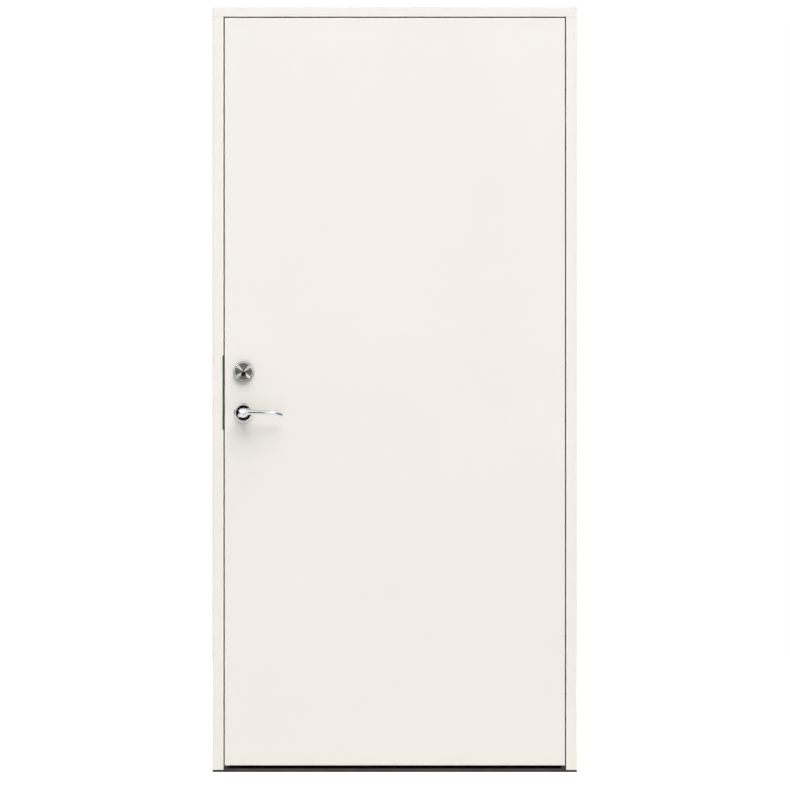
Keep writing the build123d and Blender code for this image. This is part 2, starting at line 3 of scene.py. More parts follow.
import bpy
import numpy as np
from bpy.props import FloatProperty, FloatVectorProperty, IntProperty, PointerProperty
from bpy.types import Operator, Panel, PropertyGroup
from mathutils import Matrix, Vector


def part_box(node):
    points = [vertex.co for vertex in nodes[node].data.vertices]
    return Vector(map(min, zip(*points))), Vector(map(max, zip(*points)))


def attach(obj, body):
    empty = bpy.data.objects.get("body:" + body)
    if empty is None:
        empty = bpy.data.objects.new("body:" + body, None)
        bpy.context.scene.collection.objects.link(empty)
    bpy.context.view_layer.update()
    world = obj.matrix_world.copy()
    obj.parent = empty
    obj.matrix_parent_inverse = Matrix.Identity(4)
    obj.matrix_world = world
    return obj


bl_info = {
    "name": "Flush front door",
    "version": (1, 0, 0),
    "blender": (4, 5, 0),
    "location": "3D View > Sidebar > Door",
    "description": "Finishes, screws and studio for a flush front door with a lever handle",
    "category": "Object",
}

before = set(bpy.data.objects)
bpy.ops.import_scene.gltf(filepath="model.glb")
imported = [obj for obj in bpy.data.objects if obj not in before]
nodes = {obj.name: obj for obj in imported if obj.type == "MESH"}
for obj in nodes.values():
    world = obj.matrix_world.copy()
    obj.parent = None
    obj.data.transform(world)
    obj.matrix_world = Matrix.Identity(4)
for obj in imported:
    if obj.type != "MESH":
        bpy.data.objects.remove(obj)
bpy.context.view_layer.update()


def linear(code):
    """An sRGB hex colour as linear red, green and blue, by the standard's two-part curve."""
    parts = [int(code[i:i + 2], 16) / 255 for i in (1, 3, 5)]
    return tuple(p / 12.92 if p <= 0.04045 else ((p + 0.055) / 1.055) ** 2.4 for p in parts)


def corners(node):
    """Lowest and highest corner of a CAD node, as arrays in metres."""
    low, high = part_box(node)
    return np.array(low), np.array(high)


def middle(node):
    """Middle of a CAD node's box, in metres."""
    low, high = corners(node)
    return (low + high) / 2


# Sizes and colours


def length(name, text, default, low=0.0, high=10.0):
    """A length in metres, as a property."""
    return FloatProperty(name=name, description=text, default=default, min=low, max=high,
                         subtype="DISTANCE", unit="LENGTH", precision=4)


def colour(name, text, code):
    """A colour given as sRGB hex, as a property."""
    return FloatVectorProperty(name=name, description=text, default=linear(code), size=3,
                               min=0.0, max=1.0, subtype="COLOR")


def share(name, text, default, high=1.0):
    """A plain number from nought, as a property."""
    return FloatProperty(name=name, description=text, default=default, min=0.0, max=high)


def angle(name, text, degrees):
    """An angle up to half a turn, as a property."""
    return FloatProperty(name=name, description=text, default=math.radians(degrees), min=0.0,
                         max=math.pi, subtype="ANGLE", unit="ROTATION")


class DoorColours(PropertyGroup):
    leaf_paint: colour("Leaf paint", "Warm white paint on the leaf's two faces", "#F5F0EA")
    frame_paint: colour("Frame paint", "Warm white paint on the frame and the leaf's edges",
                        "#F5F1EA")
    chrome: colour("Chrome", "Polished chrome plate on the levers and roses", "#E4E5E7")
    satin_chrome: colour("Satin chrome", "Satin chrome plate on the cylinder's rings", "#B2B3B5")
    steel: colour("Stainless steel", "Stainless steel of the cylinder, strike plate and hinge arms",
                  "#706F6C")
    nickel: colour("Nickel", "Satin nickel plate on the bolts and hinges", "#BDB8AF")
    zinc: colour("Zinc", "Bright zinc plate on the lock case, sleeves and spindle", "#BCC1C6")
    brass: colour("Brass", "Brass of the key plug", "#B8924A")
    # This dark is painted shade on the key plug's brass face.
    plug_painted_shade: colour("Tarnish", "Dark oxide in the middle of the key plug", "#16120C")
    rubber: colour("Rubber", "Sealing rubber round the opening", "#262626")
    foam: colour("Foam", "Closed-cell foam pads at the sill", "#47474A")
    insulation: colour("Insulation", "Insulating foam inside the leaf", "#EADFB8")
    sill: colour("Sill", "Dark bronze anodised sill", "#34322F")
    floor: colour("Floor", "Pale studio floor", "#C0C0BE")


class DoorScrews(PropertyGroup):
    countersunk: length("Countersunk head", "Width of the countersunk heads", 0.008, 0.002, 0.02)
    rose: length("Rose screw head", "Width of the heads in the roses", 0.007, 0.002, 0.02)
    sill: length("Sill screw head", "Width of the heads in the sill", 0.0085, 0.002, 0.02)
    crown: length("Crown", "How far a head stands proud", 0.0009, 0.0002, 0.003)
    recess: length("Recess", "Depth of the cross in a head", 0.0007, 0.0001, 0.003)
    rose_across: length("Across the hub", "Sideways distance of a rose screw from the spindle",
                        0.0127)
    rose_above: length("Above the hub", "Height of a rose screw above the spindle", 0.0086)
    rings: IntProperty(name="Rings", description="Rings of points on a head's dome", default=14,
                       min=6, max=40)
    turns: IntProperty(name="Turns", description="Faces round a head", default=48, min=24, max=96)


class DoorStudio(PropertyGroup):
    lens: FloatProperty(name="Lens", description="Focal length of the camera, in millimetres",
                        default=200.0, min=20.0, max=400.0)
    distance: length("Distance", "Camera to the door's face", 11.93, 1.0, 60.0)
    eye: length("Eye height", "Height of the camera above the floor", 1.025, 0.0, 5.0)
    sky: share("Sky", "Strength of the light from behind the door", 0.62, 5.0)
    ceiling: share("Ceiling", "Strength of the light from high up before the door", 0.6, 5.0)
    level: share("Level", "Strength of the light from eye level before the door", 0.12, 5.0)
    ground: share("Ground", "Strength of the light thrown back by the floor before the door",
                  0.76, 5.0)
    overhead: share("Overhead", "Strength of the broad lamp above", 2.95, 20.0)
    lean: angle("Lean", "Angle between the broad lamp's middle and the door's face", 29)
    spread: angle("Spread", "Width of the broad lamp as seen from the door", 52)
    glint: share("Glint", "Strength of each small lamp that only metal shows", 2.4, 20.0)
    narrow: angle("Glint width", "Width of each small lamp as seen from the door", 6)
    port: angle("Port", "Half width of the dark port round the camera", 2.4)
    strip: angle("Strip", "Unit of height of the dark places that metal sees", 9)


# Materials


# A noise seldom leaves this part of its range, so a pattern stretches it over its two ends.
MIDDLE = (0.3, 0.7)


def add_node(tree, kind, settings=None, inputs=None):
    """One shader node, with its settings and its inputs: a socket is linked, a value is set."""
    made = tree.nodes.new("ShaderNode" + kind)
    for name, value in (settings or {}).items():
        setattr(made, name, value)
    for name, value in (inputs or {}).items():
        if isinstance(value, bpy.types.NodeSocket):
            tree.links.new(value, made.inputs[name])
        else:
            made.inputs[name].default_value = value
    return made


def shade(tint, factor=1.0):
    """A colour made darker or lighter, with full cover."""
    return (*(min(1.0, c * factor) for c in tint), 1.0)


def new_material(name):
    """An empty node material, its tree and the object's own coordinates."""
    made = bpy.data.materials.new(name)
    made.use_nodes = True
    tree = made.node_tree
    tree.nodes.clear()
    return made, tree, add_node(tree, "TexCoord").outputs["Object"]


def dress(made, tone, tints, height, relief, inputs, gloss=None, tone_range=MIDDLE,
          gloss_range=MIDDLE):
    """Ends a material with its surface, and puts the patterns on it.

    The tone runs from the first tint to the second over its range. The height is relief metres
    high, over the Normal among the inputs if there is one. The gloss is a pattern and the
    roughness at the two ends of its range. The inputs are what else the surface is given.
    """
    tree, inputs = made.node_tree, dict(inputs)
    amount = add_node(tree, "MapRange", {"clamp": True}, {
        "Value": tone, "From Min": tone_range[0], "From Max": tone_range[1]}).outputs["Result"]
    inputs["Base Color"] = add_node(tree, "Mix", {"data_type": "RGBA"}, {
        0: amount, 6: tints[0], 7: tints[1]}).outputs[2]
    if gloss:
        pattern, low, high = gloss
        inputs["Roughness"] = add_node(tree, "MapRange", {"clamp": True}, {
            "Value": pattern, "From Min": gloss_range[0], "From Max": gloss_range[1],
            "To Min": low, "To Max": high}).outputs["Result"]
    raised = {"Height": height, "Distance": relief, "Strength": 1.0}
    if "Normal" in inputs:
        raised["Normal"] = inputs["Normal"]
    inputs["Normal"] = add_node(tree, "Bump", {}, raised).outputs["Normal"]
    surface = add_node(tree, "BsdfPrincipled", {}, inputs)
    add_node(tree, "OutputMaterial", {}, {"Surface": surface.outputs["BSDF"]})
    return made


def from_axis(tree, place, centre):
    """The offset from an axis along y through a centre, and its length."""
    out = add_node(tree, "VectorMath", {"operation": "SUBTRACT"},
                   {0: place, 1: tuple(centre)}).outputs[0]
    flat = add_node(tree, "VectorMath", {"operation": "MULTIPLY"},
                    {0: out, 1: (1.0, 0.0, 1.0)}).outputs[0]
    return flat, add_node(tree, "VectorMath", {"operation": "LENGTH"}, {0: flat}).outputs["Value"]


def painted(name, tint, grain_axis=None, cloud_width=0.35, peel_width=0.0016, line_width=0.0015,
            line_length=0.25):
    """Satin alkyd paint. Sprayed on board it has a fine orange peel, brushed on pine a faint grain.

    The peel is 1.6 mm across and 4 microns high, drawn a little high so that it shows, and the
    grain's lines are 1.5 mm apart and a quarter of a metre long.
    """
    made, tree, place = new_material(name)
    cloud = add_node(tree, "TexNoise", {}, {
        "Vector": place, "Scale": 1 / cloud_width, "Detail": 3.0}).outputs["Fac"]
    peel = add_node(tree, "TexNoise", {}, {
        "Vector": place, "Scale": 1 / peel_width, "Detail": 1.0}).outputs["Fac"]
    tone, height, relief = cloud, peel, 0.000004
    if grain_axis is not None:
        pitch = [line_width] * 3
        pitch[grain_axis] = line_length
        along = add_node(tree, "Mapping", {}, {
            "Vector": place, "Scale": tuple(1 / p for p in pitch)}).outputs["Vector"]
        grain = add_node(tree, "TexNoise", {}, {
            "Vector": along, "Scale": 1.0, "Detail": 3.0, "Roughness": 0.55}).outputs["Fac"]
        height = add_node(tree, "Mix", {"data_type": "RGBA"}, {
            0: 0.6, 6: peel, 7: grain}).outputs[2]
        tone = add_node(tree, "Mix", {"data_type": "RGBA"}, {
            0: 0.3, 6: cloud, 7: grain}).outputs[2]
        relief = 0.00001
    return dress(made, tone, (shade(tint, 0.992), shade(tint, 1.004)), height, relief,
                 {"IOR": 1.5, "Specular IOR Level": 0.35}, (cloud, 0.36, 0.42))


def plated(name, tint, rough, smear=0.02, smear_width=0.02, wave_width=0.006, pit_width=0.0012):
    """Plate on die-cast zinc: bright, with faint smears and a slow waviness left by the buffing.

    The waves are 4 microns high. The pits, just over a millimetre apart, are under one.
    """
    made, tree, place = new_material(name)
    cloud = add_node(tree, "TexNoise", {}, {
        "Vector": place, "Scale": 1 / smear_width, "Detail": 4.0}).outputs["Fac"]
    wave = add_node(tree, "TexNoise", {}, {
        "Vector": place, "Scale": 1 / wave_width, "Detail": 1.0}).outputs["Fac"]
    pits = add_node(tree, "TexNoise", {}, {
        "Vector": place, "Scale": 1 / pit_width, "Detail": 2.0}).outputs["Fac"]
    soft = add_node(tree, "Bump", {}, {
        "Height": wave, "Distance": 0.000004, "Strength": 1.0}).outputs["Normal"]
    return dress(made, cloud, (shade(tint, 0.97), shade(tint)), pits, 0.0000008,
                 {"Metallic": 1.0, "Normal": soft},
                 (cloud, max(rough - smear, 0.01), rough + smear))


def brushed_round(name, tint, centre, rough=0.29, ring_pitch=0.0006, blotch_width=0.003):
    """Steel turned on a lathe: fine rings about its centre, so light lies in rays across them.

    The rings are about 0.1 mm apart on the real one and are drawn 0.6 mm apart so that they show.
    """
    made, tree, place = new_material(name)
    flat, radius = from_axis(tree, place, centre)
    across = add_node(tree, "VectorMath", {"operation": "NORMALIZE"}, {0: flat}).outputs[0]
    turned = add_node(tree, "VectorTransform",
                      {"vector_type": "VECTOR", "convert_from": "OBJECT", "convert_to": "WORLD"},
                      {"Vector": across}).outputs[0]
    outward = add_node(tree, "CombineXYZ", {}, {0: radius}).outputs[0]
    stepped = add_node(tree, "Mapping", {}, {
        "Vector": outward, "Scale": (1 / ring_pitch, 1.0, 1.0)}).outputs["Vector"]
    rings = add_node(tree, "TexNoise", {}, {
        "Vector": stepped, "Scale": 1.0, "Detail": 3.0, "Roughness": 0.7}).outputs["Fac"]
    blotch = add_node(tree, "TexNoise", {}, {
        "Vector": place, "Scale": 1 / blotch_width, "Detail": 2.0}).outputs["Fac"]
    return dress(made, rings, (shade(tint, 0.86), shade(tint, 1.06)), rings, 0.000006,
                 {"Metallic": 1.0, "Anisotropic": 0.95, "Tangent": turned},
                 (blotch, rough - 0.03, rough + 0.04))


def brushed_long(name, tint, axis, rough=0.32, line_width=0.0004, line_length=0.06,
                 cloud_width=0.05):
    """Metal brushed along one axis: fine lines 0.4 mm apart, and light drawn out across them."""
    made, tree, place = new_material(name)
    pitch = [line_width] * 3
    pitch[axis] = line_length
    along = add_node(tree, "Mapping", {}, {
        "Vector": place, "Scale": tuple(1 / p for p in pitch)}).outputs["Vector"]
    lines = add_node(tree, "TexNoise", {}, {
        "Vector": along, "Scale": 1.0, "Detail": 3.0, "Roughness": 0.6}).outputs["Fac"]
    cloud = add_node(tree, "TexNoise", {}, {
        "Vector": place, "Scale": 1 / cloud_width, "Detail": 2.0}).outputs["Fac"]
    return dress(made, lines, (shade(tint, 0.86), shade(tint, 1.05)), lines, 0.000006,
                 {"Metallic": 1.0}, (cloud, rough - 0.04, rough + 0.04))


def zinc_plated(name, tint, mottle_width=0.004, grain_width=0.0014):
    """Bright zinc on pressed steel: bluish, with a mottle of 4 mm and small bright grains."""
    made, tree, place = new_material(name)
    mottle = add_node(tree, "TexNoise", {}, {
        "Vector": place, "Scale": 1 / mottle_width, "Detail": 3.0}).outputs["Fac"]
    grains = add_node(tree, "TexVoronoi", {}, {
        "Vector": place, "Scale": 1 / grain_width}).outputs["Distance"]
    return dress(made, mottle, (shade(tint, 0.8), shade(tint, 1.05)), grains, 0.00001,
                 {"Metallic": 1.0}, (grains, 0.3, 0.45), gloss_range=(0.0, 0.8))


def plug_brass(name, bright, dark, centre, inner=0.0050, outer=0.0068, patch_width=0.0022):
    """Brass of a key plug, its face painted nearly black as painted shade, with patches of brass
    left at its rim.
    """
    made, tree, place = new_material(name)
    radius = from_axis(tree, place, centre)[1]
    brass_patches = add_node(tree, "TexNoise", {}, {
        "Vector": place, "Scale": 1 / patch_width, "Detail": 3.0}).outputs["Fac"]
    edge = add_node(tree, "MapRange", {"clamp": True}, {
        "Value": radius, "From Min": inner, "From Max": outer}).outputs["Result"]
    patchy = add_node(tree, "MapRange", {"clamp": True}, {
        "Value": brass_patches, "From Min": 0.35, "From Max": 0.65,
        "To Min": 0.05, "To Max": 0.32}).outputs["Result"]
    # Painted shade: the plug's face stays dark, and brass shows only in patches at its rim.
    brass_showing = add_node(tree, "Math", {"operation": "MULTIPLY"}, {0: edge, 1: patchy}).outputs[0]
    return dress(made, brass_showing, (shade(dark), shade(bright)), brass_patches, 0.00002, {"Metallic": 1.0},
                 (brass_showing, 0.5, 0.24), tone_range=(0.0, 1.0), gloss_range=(0.0, 1.0))


def rubbery(name, tint, bloom_width=0.03, grain_width=0.0009):
    """Extruded rubber: dull, with a fine grain and a light bloom in patches."""
    made, tree, place = new_material(name)
    bloom = add_node(tree, "TexNoise", {}, {
        "Vector": place, "Scale": 1 / bloom_width, "Detail": 3.0}).outputs["Fac"]
    grain = add_node(tree, "TexNoise", {}, {
        "Vector": place, "Scale": 1 / grain_width, "Detail": 2.0}).outputs["Fac"]
    return dress(made, bloom, (shade(tint), shade(tint, 1.35)), grain, 0.00002, {"IOR": 1.5},
                 (bloom, 0.57, 0.7))


def cellular(name, tint, cell=0.0012):
    """Foam: round cells a little over a millimetre wide, with painted shade darkening each cell's
    pit.
    """
    made, tree, place = new_material(name)
    cells = add_node(tree, "TexVoronoi", {}, {
        "Vector": place, "Scale": 1 / cell}).outputs["Distance"]
    # The darker tone in each cell's pit is painted shade.
    return dress(made, cells, (shade(tint, 0.7), shade(tint)), cells, 0.0002,
                 {"Roughness": 0.85, "IOR": 1.45}, tone_range=(0.0, 0.7))


def anodised(name, tint, line_width=0.0007, line_length=0.2, cloud_width=0.06):
    """Anodised aluminium, extruded along the opening: satin, with drawing lines along it."""
    made, tree, place = new_material(name)
    along = add_node(tree, "Mapping", {}, {
        "Vector": place,
        "Scale": tuple(1 / p for p in (line_length, line_width, line_width))}).outputs["Vector"]
    lines = add_node(tree, "TexNoise", {}, {
        "Vector": along, "Scale": 1.0, "Detail": 3.0, "Roughness": 0.6}).outputs["Fac"]
    cloud = add_node(tree, "TexNoise", {}, {
        "Vector": place, "Scale": 1 / cloud_width, "Detail": 2.0}).outputs["Fac"]
    return dress(made, lines, (shade(tint, 0.85), shade(tint, 1.15)), lines, 0.000008,
                 {"Metallic": 0.75}, (cloud, 0.34, 0.44))


def finish_nodes(material, names):
    """Gives one material to every slot of some CAD nodes."""
    for name in names:
        mesh = nodes[name].data
        for i in range(len(mesh.materials)):
            mesh.materials[i] = material


# Meshes


def grid_mesh(name, points, closed_round, material):
    """An object from an array of grids: piece, row, column, xyz. Its columns may close into rings.

    Each face joins a point to the next in its row and to the two beside them in the next row.
    """
    pieces, rows, columns = points.shape[:3]
    index = np.arange(pieces * rows * columns).reshape(pieces, rows, columns)
    if closed_round:
        right = np.roll(index, -1, axis=2)
    else:
        index, right = index[:, :, :-1], index[:, :, 1:]
    faces = np.stack([index[:, :-1], right[:, :-1], right[:, 1:], index[:, 1:]], axis=-1)
    mesh = bpy.data.meshes.new(name)
    mesh.from_pydata(points.reshape(-1, 3), [], faces.reshape(-1, 4))
    mesh.polygons.foreach_set("use_smooth", np.ones(len(mesh.polygons), dtype=bool))
    mesh.materials.append(material)
    mesh.validate()
    made = bpy.data.objects.new(name, mesh)
    bpy.context.scene.collection.objects.link(made)
    return made


def smooth_step(value):
    """0 below nought, 1 above one, and between them the even curve t^2 x (3 - 2t)."""
    t = np.clip(value, 0.0, 1.0)
    return t * t * (3.0 - 2.0 * t)


def screw_heads(name, places, outward, across, width, material, spin):
    """Raised countersunk heads with a cross recess, as one object.

    A head is a disc of rings. Its height over the plate is crown x (1 - (r / R)^2) and a lip, with
    a short drop at the rim to just under the plate. Each bar of the cross, turned by spin radians,
    takes the recess away where the point lies in it, so the middle is sunk twice. A bar's depth
    fades over a twentieth of the head's width at its ends and its sides.
    """
    screws = bpy.context.scene.door_screws
    bar_half, bar_reach, fade = 0.085 * width, 0.3 * width, 0.05 * width
    lip, sunk = 0.12 * screws.crown, 0.1 * screws.crown
    places = np.array(places, dtype=float)
    outward = np.array(outward, dtype=float)
    outward /= np.linalg.norm(outward)
    across = np.array(across, dtype=float)
    across -= outward * (across @ outward)
    across /= np.linalg.norm(across)
    upward = np.cross(outward, across)
    rows = np.concatenate([np.linspace(0.02, 0.94, screws.rings), [1.0, 1.0]])
    turn = np.linspace(0, 2 * np.pi, screws.turns, endpoint=False)
    ring, around = np.meshgrid(rows, turn, indexing="ij")
    x, y = width / 2 * ring * np.cos(around), width / 2 * ring * np.sin(around)
    height = screws.crown * (1.0 - ring ** 2) + lip
    u, v = np.cos(spin) * x + np.sin(spin) * y, np.cos(spin) * y - np.sin(spin) * x
    for side, end in ((u, v), (v, u)):
        inside = (smooth_step((bar_half - np.abs(side)) / fade + 0.5)
                  * smooth_step((bar_reach - np.abs(end)) / fade + 0.5))
        height -= screws.recess * inside
    height[-1] = -sunk
    local = x[..., None] * across + y[..., None] * upward + height[..., None] * outward
    return grid_mesh(name, places[:, None, None, :] + local[None], True, material)


class DOOR_OT_painted_wood(Operator):
    """Paints the frame, the leaf's skins and the leaf's edges, with the grain along each piece"""
    bl_idname = "door.painted_wood"
    bl_label = "Painted wood"

    def execute(self, context):
        colours = context.scene.door_colours
        finish_nodes(painted("sprayed_satin_paint_on_board", colours.leaf_paint),
                     ["outer_skin", "inner_skin"])
        finish_nodes(painted("brushed_satin_paint_on_upright_pine", colours.frame_paint, 2),
                     ["lock_jamb", "hinge_jamb", "lock_stile", "hinge_stile"])
        finish_nodes(painted("brushed_satin_paint_on_level_pine", colours.frame_paint, 0),
                     ["frame_head", "top_rail", "bottom_rail"])
        finish_nodes(cellular("polystyrene_insulation", colours.insulation), ["leaf_core"])
        return {"FINISHED"}


class DOOR_OT_handle_metal(Operator):
    """Gives the levers, roses, rings, cylinder and key plug their metals"""
    bl_idname = "door.handle_metal"
    bl_label = "Handle and cylinder metal"

    def execute(self, context):
        colours = context.scene.door_colours
        finish_nodes(plated("polished_chrome_plate", colours.chrome, 0.045),
                     ["outer_lever", "inner_lever", "outer_rose", "inner_rose", "thumb_turn"])
        finish_nodes(plated("satin_chrome_plate", colours.satin_chrome, 0.24, 0.03),
                     ["cylinder_ring", "turn_ring"])
        finish_nodes(brushed_round("turned_stainless_steel", colours.steel, middle("cylinder")),
                     ["cylinder"])
        finish_nodes(plug_brass("brass_plug_with_painted_shade", colours.brass, colours.plug_painted_shade,
                                middle("cylinder_plug")), ["cylinder_plug"])
        return {"FINISHED"}


class DOOR_OT_fitting_metal(Operator):
    """Gives the lock case, bolts, strike plate, hinges, sleeves and spindle their metals"""
    bl_idname = "door.fitting_metal"
    bl_label = "Fitting metal"

    def execute(self, context):
        colours = context.scene.door_colours
        finish_nodes(brushed_long("brushed_stainless_plate", colours.steel, 2), ["strike_plate"])
        finish_nodes(zinc_plated("bright_zinc_on_steel", colours.zinc),
                     ["lock_case", "spindle"]
                     + [f"fixing_sleeves_{side}_side" for side in ("lock", "hinge")])
        finish_nodes(plated("satin_nickel_on_steel", colours.nickel, 0.22, 0.05),
                     ["latch_bolt", "hook_bolt"])
        finish_nodes(plated("satin_nickel_on_cast_zinc", colours.nickel, 0.32, 0.05),
                     [f"hinge_cup_{side}_{where}" for side in ("frame", "leaf")
                      for where in ("bottom", "middle", "top")])
        finish_nodes(brushed_long("forged_hinge_steel", colours.steel, 0, 0.36),
                     [f"hinge_arms_{where}" for where in ("bottom", "middle", "top")])
        return {"FINISHED"}


class DOOR_OT_seals_and_sill(Operator):
    """Gives the seals, the foam pads and the sill their rubber, foam and aluminium"""
    bl_idname = "door.seals_and_sill"
    bl_label = "Seals and sill"

    def execute(self, context):
        colours = context.scene.door_colours
        finish_nodes(rubbery("extruded_sealing_rubber", colours.rubber),
                     ["seal_lock_side", "seal_hinge_side", "seal_head", "seal_sill"])
        finish_nodes(cellular("closed_cell_foam", colours.foam, 0.001),
                     ["sill_pad_lock_side", "sill_pad_hinge_side"])
        finish_nodes(anodised("dark_anodised_aluminium", colours.sill), ["sill"])
        return {"FINISHED"}


class DOOR_OT_rose_screws(Operator):
    """Adds the two screws in each rose, on a slant across the spindle"""
    bl_idname = "door.rose_screws"
    bl_label = "Rose screws"

    def execute(self, context):
        screws, colours = context.scene.door_screws, context.scene.door_colours
        metal = plated("polished_nickel_screw", colours.chrome, 0.12)
        centre = middle("spindle")
        across = np.array([screws.rose_across, 0.0, screws.rose_above])
        for side, way, face in (("outer", -1.0, 0), ("inner", 1.0, 1)):
            y = corners(f"{side}_rose")[face][1]
            start = np.array([centre[0], y, centre[2]])
            heads = screw_heads(f"rose_screws_{side}", [start - across, start + across],
                                (0, way, 0), (1, 0, 0), screws.rose, metal, 0.5)
            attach(heads, "leaf")
        return {"FINISHED"}


class DOOR_OT_lock_screws(Operator):
    """Adds the screws of the strike plate and of the lock's forend"""
    bl_idname = "door.lock_screws"
    bl_label = "Lock screws"

    def execute(self, context):
        screws, colours = context.scene.door_screws, context.scene.door_colours
        metal = plated("bright_zinc_screw", colours.zinc, 0.25)
        y = middle("spindle")[1]
        strike_inset, forend_inset = 0.013, 0.011
        low, high = corners("strike_plate")
        places = [(high[0], y, low[2] + strike_inset), (high[0], y, high[2] - strike_inset)]
        heads = screw_heads("strike_plate_screws", places, (1, 0, 0), (0, 1, 0),
                            screws.countersunk, metal, 0.3)
        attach(heads, "frame")
        # The forend lies on the leaf's edge, which leans from the outer skin to the inner one.
        low, high = corners("lock_case")
        front, skin = corners("outer_skin")[0], corners("inner_skin")
        slope_x, slope_y = skin[0][0] - front[0], skin[1][1] - front[1]
        x = front[0] + slope_x * (y - front[1]) / slope_y
        places = [(x, y, low[2] + forend_inset), (x, y, high[2] - forend_inset)]
        heads = screw_heads("forend_screws", places, (-slope_y, slope_x, 0), (slope_x, slope_y, 0),
                            screws.countersunk, metal, 0.9)
        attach(heads, "leaf")
        return {"FINISHED"}


class DOOR_OT_hinge_screws(Operator):
    """Adds the screws that hold the two halves of each hidden hinge"""
    bl_idname = "door.hinge_screws"
    bl_label = "Hinge screws"

    def execute(self, context):
        screws, colours = context.scene.door_screws, context.scene.door_colours
        metal = plated("zinc_hinge_screw", colours.zinc, 0.25)
        inset = 0.009
        for side, body, way in (("frame", "frame", -1.0), ("leaf", "leaf", 1.0)):
            places = []
            for where in ("bottom", "middle", "top"):
                low, high = corners(f"hinge_cup_{side}_{where}")
                x = low[0] if way < 0 else high[0]
                y = (low[1] + high[1]) / 2
                places += [(x, y, low[2] + inset), (x, y, high[2] - inset)]
            heads = screw_heads(f"hinge_screws_{side}", places, (way, 0, 0), (0, 1, 0),
                                screws.countersunk, metal, 0.6)
            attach(heads, body)
        return {"FINISHED"}


# Depth and height of the front and the back edge of the sill's slope, in metres.
SILL_SLOPE = (-0.0525, 0.0095, 0.0135, 0.012)


class DOOR_OT_sill_screws(Operator):
    """Adds three screws through the sill, square to its slope"""
    bl_idname = "door.sill_screws"
    bl_label = "Sill screws"

    def execute(self, context):
        screws, colours = context.scene.door_screws, context.scene.door_colours
        metal = plated("dark_sill_screw", colours.nickel, 0.3)
        front_y, front_z, back_y, back_z = SILL_SLOPE
        run, rise = back_y - front_y, back_z - front_z
        y, aside = -0.019, 0.36
        z = front_z + rise * (y - front_y) / run
        heads = screw_heads("sill_screws", [(x, y, z) for x in (-aside, 0.0, aside)],
                            (0, -rise, run), (1, 0, 0), screws.sill, metal, 0.2)
        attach(heads, "frame")
        return {"FINISHED"}


# Where the port round the camera lies, in degrees to the right of straight in front, so that it is
# a little to the left, and how many degrees its edge is soft.
PORT_MIDDLE, PORT_SOFT = -2.0, 0.5
# The other dark places that polished metal sees: left and right edge in degrees, low and high edge
# in strips from eye level, and how many degrees their edges are soft.
DARK_PLACES = (
    (2.5, 9.0, -4.4, 0.4, 2.0),  # the camera's tall stand
    (27.0, 39.0, -2.4, 1.1, 1.0),  # a doorway
    (38.0, 46.0, 0.0, 1.8, 2.0),  # what hangs beside the doorway
    (-60.0, -42.0, -1.7, 0.6, 3.0),  # the end of the room
    (-115.0, -62.0, -1.1, 2.4, 4.0),  # the wall beside the door
)
# Darkness of those places, and the grey of the ceiling, as metal sees them.
DARK = (0.008, 0.008, 0.009, 1.0)
GREY = (0.52, 0.52, 0.52, 1.0)
WHITE = (1.0, 1.0, 1.0, 1.0)


def dark_places(studio):
    """Left, right, low and high edge and softness of each dark place, in radians."""
    port = math.degrees(studio.port)
    found = [(PORT_MIDDLE - port, PORT_MIDDLE + port, -studio.port, studio.port, PORT_SOFT)]
    found += [(left, right, low * studio.strip, high * studio.strip, soft)
              for left, right, low, high, soft in DARK_PLACES]
    return [(math.radians(left), math.radians(right), low, high, math.radians(soft))
            for left, right, low, high, soft in found]


# The camera's sensor in millimetres, how far it sees and how far right of the door's middle it is.
SENSOR_WIDTH, CLIP_END, CAMERA_ASIDE = 36.0, 100.0, 0.0006
# Half the floor's side, and how far it lies below the door so that the two don't meet.
FLOOR_HALF, FLOOR_DROP = 5.0, 0.0002
# Directions from the door to the lamps: the broad lamp's sideways part, and the small lamps.
OVERHEAD_ASIDE = 0.14
GLINT_ASIDE, GLINT_BEFORE, GLINT_ABOVE = 0.372, -0.866, 0.335


